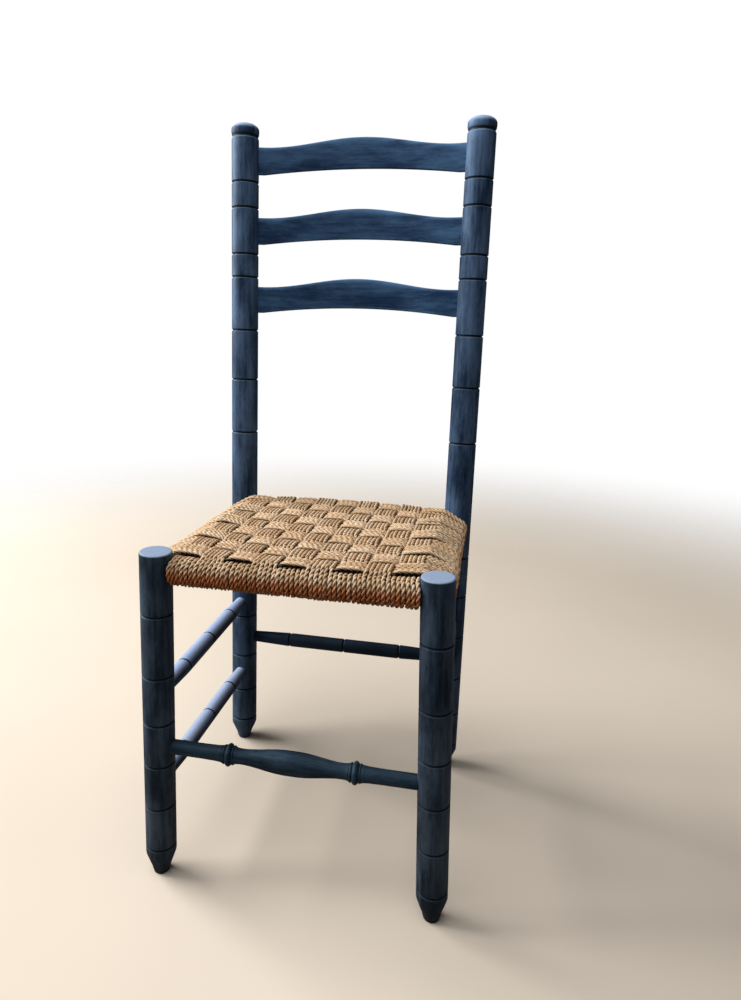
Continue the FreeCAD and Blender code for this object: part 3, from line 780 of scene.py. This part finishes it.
def warp_turn(column, share, share_after):
    """One turn round the front and back rails, at this share of the half width.

    Its columns are x, y, z, depth under the crests, and 1 in the weave.
    """
    top_edges = bent(share * HALF_FRONT, ROWS_MIDDLE, ROWS_SIDE)
    low_edges = below(top_edges)
    start = low_edges[GROUPS // 2 + 1]
    home = np.arange(WEAVE_LENGTH + QUARTER_WRAP, start, -1)
    parts = []
    for rows, edges, face, shift in (
        (np.arange(start, -QUARTER_WRAP, -1), low_edges, -1, 0),
        (np.arange(-QUARTER_WRAP, WEAVE_LENGTH + QUARTER_WRAP, 1), top_edges, 1, 0),
        (home, low_edges, -1, smooth(-home, -WEAVE_LENGTH, -start)),
    ):
        begun = smooth(rows, edges[0] - WARP_EASE, edges[0] + 1)
        inside = begun * (1 - smooth(rows, edges[-1] - 1, edges[-1] + WARP_EASE))
        near = near_rail(rows)
        swing = SWING * (1 - RAIL_CALM * near) * inside
        height = wave(rows, edges, column % 2 == 1, held=-1)
        loose = slack(rows) if face < 0 else 0
        level = CORD_RADIUS + (LEVEL + RAIL_LIFT * near - CORD_RADIUS) * inside
        y, z = on_rails(rows, level + swing * height + loose)
        place = share + (share_after - share) * shift
        centre = (column * 2 + 1) / GROUPS - 1
        place = centre + (place - centre) * (1 - PULL * inside * np.maximum(height, 0))
        parts.append(np.stack([place * half_width(rows), y, face * z, (1 - height) * swing, inside], axis=-1))
    return np.concatenate(parts)


def round_side_rail(top, bottom, row, lift):
    """From a point above to one below, pulled tight round the right side rail. lift raises its top."""
    axis = -(SIDE_FRONT[0] + (SIDE_BACK[0] - SIDE_FRONT[0]) * row / WEAVE_LENGTH)
    axis += SIDE_SLACK * (1 - smooth(row, *SIDE_SLACK_FADES))
    radius = WRAP_RADIUS + lift / 2
    centre = np.array([axis, lift / 2 - SIDE_DROP])
    touches = []
    for point, turn in ((top, -1), (bottom, 1)):
        away = point[[0, 2]] - centre
        lean = math.acos(min(1, radius / np.linalg.norm(away)))
        touches.append(math.atan2(away[1], away[0]) + turn * lean)
    angle = np.linspace(*touches, int(radius * (touches[0] - touches[1])))
    x = centre[0] + radius * np.cos(angle)
    z = centre[1] + radius * np.sin(angle)
    arc = np.stack([x, row + 0 * angle, z, 0 * angle, 0 * angle], axis=-1)
    straights = []
    for one, other in ((top, arc[0]), (arc[-1], bottom)):
        share = np.linspace(0, 1, int(np.linalg.norm((other - one)[:3])), endpoint=False)[:, None]
        straights.append(one + (other - one) * share)
    return np.concatenate([straights[0], arc, straights[1]])


def weft_turn(group, middle, side, middle_after, side_after, lift):
    """One turn round the side rails, at the row middle in the chair's middle and side at its sides.

    Its columns are those of warp_turn.
    """
    group_middle = (ROWS_MIDDLE[group] + ROWS_MIDDLE[group + 1]) / 2
    group_side = (ROWS_SIDE[group] + ROWS_SIDE[group + 1]) / 2
    edges = np.linspace(-1, 1, GROUPS + 1)
    end = half_width(side) + WEFT_END
    start = -end / GROUPS

    def run(x, face, shift=0.0):
        """The stretch over these x, on the top where face is 1 and on the underside where it is -1."""
        now = middle + (middle_after - middle) * shift
        centre = group_middle
        if face < 0:
            now, centre = below(now), below(centre)
        row = bent(x, now, side + (side_after - side) * shift)
        centre = bent(x, centre, group_side)
        height = wave(x / half_width(row), edges, group % 2 == 0, held=1)
        row = centre + (row - centre) * (1 - PULL * np.maximum(height, 0))
        near = near_rail(row)
        swing = SWING * (1 - RAIL_CALM * near)
        raised = lift * smooth(np.abs(x), *WEFT_RISES)
        loose = slack(row) if face < 0 else 0
        y, z = on_rails(row, LEVEL + RAIL_LIFT * near + swing * height + raised + loose)
        inside = 1 - smooth(np.abs(x), end - WEFT_LEAVES[0], end - WEFT_LEAVES[1])
        return np.stack([x, y, face * z, (1 - height) * swing * inside, inside], axis=-1)

    top = run(np.arange(-end, end, 1.0), 1)
    out = run(np.arange(start, -end, -1.0), -1)
    home = np.arange(end, start, -1.0)
    home = run(home, -1, smooth(-home, -end, -start))
    flip = np.array([-1, 1, 1, 1, 1])
    left = round_side_rail(top[0] * flip, out[-1] * flip, side, lift)[::-1] * flip
    right = round_side_rail(top[-1], home[0], side, lift)
    return np.concatenate([out, left, top, right, home])


def wander(count, size, span):
    """Smooth random values, one for each point, about size large, that change over span points."""
    knots = rng.normal(0, size, count // span + 3)
    return np.interp(np.arange(count) / span, np.arange(len(knots)), knots)


def in_chair(points):
    """From the weave's own frame, which falls towards the back, into the chair."""
    fall, level = math.sin(WEAVE_FALL), math.cos(WEAVE_FALL)
    x, y, z = points.T
    back = y * level + z * fall + FRONT_RAIL[1]
    up = z * level - y * fall + FRONT_RAIL[2]
    return in_metres(np.stack([x, back, up], axis=-1))


def unit(vectors):
    return vectors / np.linalg.norm(vectors, axis=1)[:, None]


def joined(turns, groups):
    """One evenly stepped line along all turns: the place of each step, the line, and each turn's last step.

    The line's columns are those of the turns, then a random tone for each turn, and -1 on the first and 1
    on the last turn of a group.
    """
    sizes = [len(turn) for turn in turns]
    padded = np.pad(np.concatenate(turns), ((2, 2), (0, 0)), mode="edge")
    line = np.stack([np.convolve(column, SMOOTHING, mode="valid") for column in padded.T], axis=-1)
    tones = rng.uniform(0, 1, len(sizes))
    outer = np.concatenate([[-1] + [0] * (size - 2) + [1] for size in groups])
    line = np.column_stack([line, np.repeat(tones, sizes), np.repeat(outer, sizes)])
    whole = np.concatenate([[0], np.cumsum(np.linalg.norm(np.diff(line[:, :3], axis=0), axis=1))])
    places = np.linspace(0, whole[-1], int(whole[-1] / CORD_STEP))
    ends = np.searchsorted(places, whole[np.cumsum(sizes) - 1])
    return places, np.stack([np.interp(places, whole, column) for column in line.T], axis=-1), ends


def winding(name, turns, side, groups, material, node):
    """Twists two strands along all turns of one cord, and makes a piece of each group of turns."""
    places, line, ends = joined(turns, groups)
    count = len(places)
    middle = line[:, :3]
    sunk, woven, tone, outer = line[:, 3:].T
    # gap marks a block's outer cords, whose outer sides get painted shade in the gaps
    gap = outer * woven * (1 - smooth(sunk, *BLOCK_SINKS))  # where a block's first or last cord lies on top
    ahead = unit(np.gradient(middle, axis=0))
    out = unit(np.cross(ahead, side))
    across = np.cross(ahead, out)
    sideways = wander(count, SIDE_STRAY, span=15) + wander(count, SIDE_STRAY, span=70)
    middle = middle + across * sideways[:, None]
    middle = middle + out * wander(count, OUT_STRAY, span=12)[:, None]
    turn = np.cumsum(math.tau * CORD_STEP / TWIST_LENGTH * (1 + wander(count, TWIST_STRAY, span=45)))
    thick = STRAND_RADIUS * (1 + wander(count, THICKNESS_STRAY, span=9))
    around = np.linspace(0, math.tau, STRAND_SIDES, endpoint=False)
    cosine, sine = np.cos(around), np.sin(around)
    rings, marks = [], {"fibre": [], "deep": [], "sunk": []}
    for strand in (0, 1):
        angle = (turn + math.pi * strand)[:, None]
        outward = np.cos(angle) * out + np.sin(angle) * across
        sideways = np.cos(angle) * across - np.sin(angle) * out
        ring = cosine[None, :, None] * outward[:, None] + sine[None, :, None] * sideways[:, None]
        offset = STRAND_OFFSET * outward[:, None] + thick[:, None, None] * ring
        rings.append(middle[:, None] + offset)
        depth = CORD_RADIUS - (offset * out[:, None]).sum(axis=-1)
        sideward = np.maximum(0, (offset * np.abs(side)).sum(axis=-1) * gap[:, None]) / CORD_RADIUS
        low = np.clip(depth / CORD_RADIUS - GAP_STARTS, 0, 1)
        # sunk is the depth for painted shade, with the outer sides of a block's edge cords counted deeper
        marks["sunk"].append(sunk[:, None] + ROUND_DEPTH * depth + GAP_SHADE_DEPTH * sideward * low)
        # deep is 1 on the inner side of each strand, where painted shade darkens the groove between strands
        marks["deep"].append(np.broadcast_to(0.5 - 0.5 * cosine, (count, STRAND_SIDES)))
        marks["fibre"].append(np.stack(np.broadcast_arrays(
            STRAND_RADIUS * cosine + FIBRES_APART * strand, STRAND_RADIUS * sine, places[:, None],
        ), axis=-1))
    marks["tone"] = [np.repeat(tone[:, None], STRAND_SIDES, axis=1)] * 2
    # facing tells the painted shade where the cord faces sideways or down
    marks["facing"] = [np.repeat(out[:, 2:], STRAND_SIDES, axis=1)] * 2
    first = 0
    for number, last_turn in enumerate(np.cumsum(groups) - 1):
        last = ends[last_turn]
        span = slice(first, last + 1)
        length = last + 1 - first
        size = length * STRAND_SIDES
        cap = np.arange(STRAND_SIDES)
        one_strand = [strip(length, STRAND_SIDES), cap[None, ::-1], cap[None] + size - STRAND_SIDES]
        faces = one_strand + [block + size for block in one_strand]
        points = np.concatenate([ring[span].reshape(-1, 3) for ring in rings])
        kept = {
            mark: np.concatenate([value[span].reshape(size, -1).squeeze() for value in values])
            for mark, values in marks.items()
        }
        build(f"{name}_{number + 1}", in_chair(points), faces, kept, material, [node])
        first = last


def straw_cord(name):
    """Twisted straw, pale tan on top. Painted shade and floor bounce redden its sides; painted shade darkens
    it below and between the strands, and makes it near black deep between the cords.
    """
    material = bpy.data.materials.new(name)
    shader = Shader(material)
    fibre = shader.attribute("fibre", "Vector")
    facing = shader.attribute("facing")
    hairs = shader.noise(fibre * (1.0, 1.0, 0.16), scale=2.6, detail=3.0, roughness=0.65)
    lengths = shader.noise(fibre * (0.25, 0.25, 1.0), scale=0.09, detail=2.0)
    blotch = shader.noise(shader.geometry(), scale=22, detail=3.0)
    straw = (hairs * 0.9 + lengths * 0.5).between(*STRAW_PALES).mix(STRAW_DARK, STRAW_PALE)
    aged = (shader.attribute("tone") * 0.45 + blotch * 0.35).between(*AGE_SHOWS)
    straw = aged.mix(straw, straw * STRAW_AGED)
    # painted shade and floor bounce: cord facing sideways is redder, and the underside darker
    sideways = 1 - (facing + blotch * 0.3).between(*SIDE_SHADE_FADES)
    shaded_straw = sideways.mix(straw, straw * STRAW_SIDE_SHADE)
    shaded_straw = facing.between(*BELOW_SHADE_ENDS).mix(straw * STRAW_BELOW_SHADE, shaded_straw)
    # painted shade in the groove between the two strands, stronger where the cord faces sideways
    deep = shader.attribute("deep").between(*CREVICE_SHADE_SHOWS) * (sideways * 0.4 + 0.45)
    colour = deep.mix(shaded_straw, shaded_straw * STRAW_CREVICE_SHADE)
    # painted shade: deep places and the gaps between blocks go near black
    sunk = shader.attribute("sunk").between(*GAP_SHADE_SHOWS) * 0.95
    shader.surface(
        Base_Color=sunk.mix(colour, GAP_SHADE_COLOUR),
        Roughness=0.72 - hairs * 0.2,
        Specular_IOR_Level=0.25,
        Normal=shader.bump(hairs, strength=0.6),
    )
    return material


straw = straw_cord("straw_cord")
warp_shares = (np.arange(GROUPS * WARP_CORDS + 1) * 2 + 1) / (GROUPS * WARP_CORDS) - 1
warp_turns = [
    warp_turn(cord // WARP_CORDS, warp_shares[cord], warp_shares[cord + 1])
    for cord in range(GROUPS * WARP_CORDS)
]
winding("warp_cords", warp_turns, (-1, 0, 0), [WARP_CORDS] * GROUPS, straw, "seat_warp_cord")

weft_rows = []
for group, cords in enumerate(WEFT_CORDS):
    middle_near, middle_far = ROWS_MIDDLE[group:group + 2] + (ROW_GAP / 2, -ROW_GAP / 2)
    side_near, side_far = ROWS_SIDE[group:group + 2]
    needed = max(0, (2 * CORD_RADIUS) ** 2 - ((side_far - side_near) / cords) ** 2) ** 0.5
    for cord in range(cords):
        share = (cord + 0.5) / cords
        middle = middle_near + (middle_far - middle_near) * share
        side = side_near + (side_far - side_near) * share
        crown = SIDE_CROWN * smooth(side, *CROWN_RISES) * (1 - smooth(side, *CROWN_FALLS))
        weft_rows.append((group, middle, side, CROWDING * needed * (cord % 2) + crown))
weft_rows.append((None, middle + 3, side + 1, None))  # the last turn ends a little further back
weft_turns = [
    weft_turn(group, middle, side, *after[1:3], lift)
    for (group, middle, side, lift), after in zip(weft_rows, weft_rows[1:])
]
winding("weft_cords", weft_turns, (0, 1, 0), WEFT_CORDS, straw, "seat_weft_cord")
